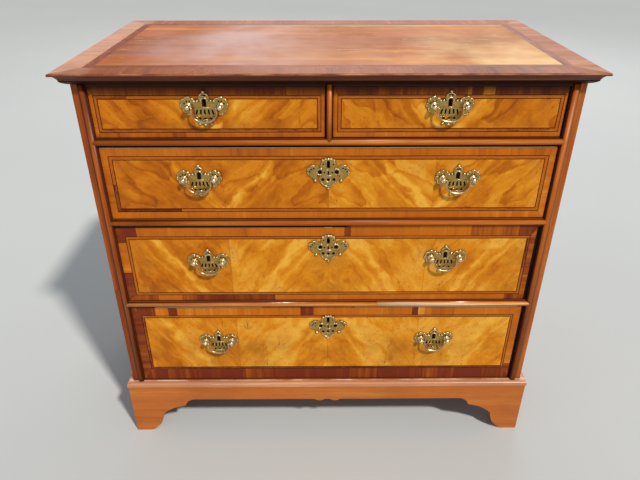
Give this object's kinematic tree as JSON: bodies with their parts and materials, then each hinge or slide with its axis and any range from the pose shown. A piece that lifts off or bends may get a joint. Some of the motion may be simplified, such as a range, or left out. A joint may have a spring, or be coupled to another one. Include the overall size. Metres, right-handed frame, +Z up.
{
  "type": "chest of drawers",
  "caption": "Walnut chest of drawers with short drawers over long ones, pierced brass bail handles, crossbanded top and bracket feet.",
  "frame": {"origin": "on the floor, under the middle of the top board's outline", "axes": "+X to the right along the width, +Y to the back, +Z up; the drawers face -Y"},
  "size_m": [1, 0.557, 0.905],
  "materials": {
    "walnut_top": "waxed",
    "walnut_moulding": "waxed",
    "walnut_burr": "waxed",
    "walnut_carcass": "waxed",
    "walnut_base": "waxed",
    "oak_lining": "dry planed",
    "pine_board": "dry sawn",
    "aged_brass": "antique",
    "lock_iron": "dark"
  },
  "bodies": {
    "carcass": {"left_side": "walnut_carcass", "right_side": "walnut_carcass", "top_board": "walnut_top", "top_moulding": "walnut_moulding", "carcass_bottom": "pine_board", "drawer_rails": "walnut_carcass", "dustboards": "pine_board", "short_drawer_divider": "walnut_carcass", "half_round_mouldings": "walnut_moulding", "back_boards": "pine_board", "base_moulding": "walnut_moulding", "front_bracket": "walnut_base", "side_brackets": "walnut_base", "foot_blocks": "pine_board"},
    "short_left_drawer": {"short_left_drawer_front": "walnut_burr", "short_left_drawer_linings": "oak_lining", "short_left_drawer_bottom": "oak_lining", "short_left_lock_case": "lock_iron", "short_left_handle_plates": "aged_brass", "short_left_handle_posts": "aged_brass"},
    "short_left_lock_bolt": {"short_left_lock_bolt": "lock_iron"},
    "short_left_bail": {"short_left_bail": "aged_brass"},
    "short_right_drawer": {"short_right_drawer_front": "walnut_burr", "short_right_drawer_linings": "oak_lining", "short_right_drawer_bottom": "oak_lining", "short_right_lock_case": "lock_iron", "short_right_handle_plates": "aged_brass", "short_right_handle_posts": "aged_brass"},
    "short_right_lock_bolt": {"short_right_lock_bolt": "lock_iron"},
    "short_right_bail": {"short_right_bail": "aged_brass"},
    "upper_long_drawer": {"upper_long_drawer_front": "walnut_burr", "upper_long_drawer_linings": "oak_lining", "upper_long_drawer_bottom": "oak_lining", "upper_long_lock_case": "lock_iron", "upper_long_handle_plates": "aged_brass", "upper_long_handle_posts": "aged_brass", "upper_long_escutcheon": "aged_brass"},
    "upper_long_lock_bolt": {"upper_long_lock_bolt": "lock_iron"},
    "upper_long_left_bail": {"upper_long_left_bail": "aged_brass"},
    "upper_long_right_bail": {"upper_long_right_bail": "aged_brass"},
    "middle_long_drawer": {"middle_long_drawer_front": "walnut_burr", "middle_long_drawer_linings": "oak_lining", "middle_long_drawer_bottom": "oak_lining", "middle_long_lock_case": "lock_iron", "middle_long_handle_plates": "aged_brass", "middle_long_handle_posts": "aged_brass", "middle_long_escutcheon": "aged_brass"},
    "middle_long_lock_bolt": {"middle_long_lock_bolt": "lock_iron"},
    "middle_long_left_bail": {"middle_long_left_bail": "aged_brass"},
    "middle_long_right_bail": {"middle_long_right_bail": "aged_brass"},
    "lower_long_drawer": {"lower_long_drawer_front": "walnut_burr", "lower_long_drawer_linings": "oak_lining", "lower_long_drawer_bottom": "oak_lining", "lower_long_lock_case": "lock_iron", "lower_long_handle_plates": "aged_brass", "lower_long_handle_posts": "aged_brass", "lower_long_escutcheon": "aged_brass"},
    "lower_long_lock_bolt": {"lower_long_lock_bolt": "lock_iron"},
    "lower_long_left_bail": {"lower_long_left_bail": "aged_brass"},
    "lower_long_right_bail": {"lower_long_right_bail": "aged_brass"}
  },
  "joints": [
    {"name": "short_left_drawer_slide", "type": "slide", "parent": "carcass", "child": "short_left_drawer", "axis": [0, -1, 0], "range_m": [0, 0.38]},
    {"name": "short_left_lock_throw", "type": "slide", "parent": "short_left_drawer", "child": "short_left_lock_bolt", "axis": [0, 0, 1], "range_m": [0, 0.008]},
    {"name": "short_left_bail_swing", "type": "hinge", "parent": "short_left_drawer", "child": "short_left_bail", "pos_m": [-0.2325, -0.2607, 0.8395], "axis": [-1, 0, 0], "range_deg": [0, 100]},
    {"name": "short_right_drawer_slide", "type": "slide", "parent": "carcass", "child": "short_right_drawer", "axis": [0, -1, 0], "range_m": [0, 0.38]},
    {"name": "short_right_lock_throw", "type": "slide", "parent": "short_right_drawer", "child": "short_right_lock_bolt", "axis": [0, 0, 1], "range_m": [0, 0.008]},
    {"name": "short_right_bail_swing", "type": "hinge", "parent": "short_right_drawer", "child": "short_right_bail", "pos_m": [0.225, -0.2607, 0.8395], "axis": [-1, 0, 0], "range_deg": [0, 100]},
    {"name": "upper_long_drawer_slide", "type": "slide", "parent": "carcass", "child": "upper_long_drawer", "axis": [0, -1, 0], "range_m": [0, 0.38]},
    {"name": "upper_long_lock_throw", "type": "slide", "parent": "upper_long_drawer", "child": "upper_long_lock_bolt", "axis": [0, 0, 1], "range_m": [0, 0.008]},
    {"name": "upper_long_left_bail_swing", "type": "hinge", "parent": "upper_long_drawer", "child": "upper_long_left_bail", "pos_m": [-0.257, -0.2607, 0.693], "axis": [-1, 0, 0], "range_deg": [0, 100]},
    {"name": "upper_long_right_bail_swing", "type": "hinge", "parent": "upper_long_drawer", "child": "upper_long_right_bail", "pos_m": [0.2565, -0.2607, 0.692], "axis": [-1, 0, 0], "range_deg": [0, 100]},
    {"name": "middle_long_drawer_slide", "type": "slide", "parent": "carcass", "child": "middle_long_drawer", "axis": [0, -1, 0], "range_m": [0, 0.38]},
    {"name": "middle_long_lock_throw", "type": "slide", "parent": "middle_long_drawer", "child": "middle_long_lock_bolt", "axis": [0, 0, 1], "range_m": [0, 0.008]},
    {"name": "middle_long_left_bail_swing", "type": "hinge", "parent": "middle_long_drawer", "child": "middle_long_left_bail", "pos_m": [-0.257, -0.2607, 0.5005], "axis": [-1, 0, 0], "range_deg": [0, 100]},
    {"name": "middle_long_right_bail_swing", "type": "hinge", "parent": "middle_long_drawer", "child": "middle_long_right_bail", "pos_m": [0.251, -0.2607, 0.508], "axis": [-1, 0, 0], "range_deg": [0, 100]},
    {"name": "lower_long_drawer_slide", "type": "slide", "parent": "carcass", "child": "lower_long_drawer", "axis": [0, -1, 0], "range_m": [0, 0.38]},
    {"name": "lower_long_lock_throw", "type": "slide", "parent": "lower_long_drawer", "child": "lower_long_lock_bolt", "axis": [0, 0, 1], "range_m": [0, 0.008]},
    {"name": "lower_long_left_bail_swing", "type": "hinge", "parent": "lower_long_drawer", "child": "lower_long_left_bail", "pos_m": [-0.254, -0.2607, 0.281], "axis": [-1, 0, 0], "range_deg": [0, 100]},
    {"name": "lower_long_right_bail_swing", "type": "hinge", "parent": "lower_long_drawer", "child": "lower_long_right_bail", "pos_m": [0.248, -0.2607, 0.285], "axis": [-1, 0, 0], "range_deg": [0, 100]}
  ]
}
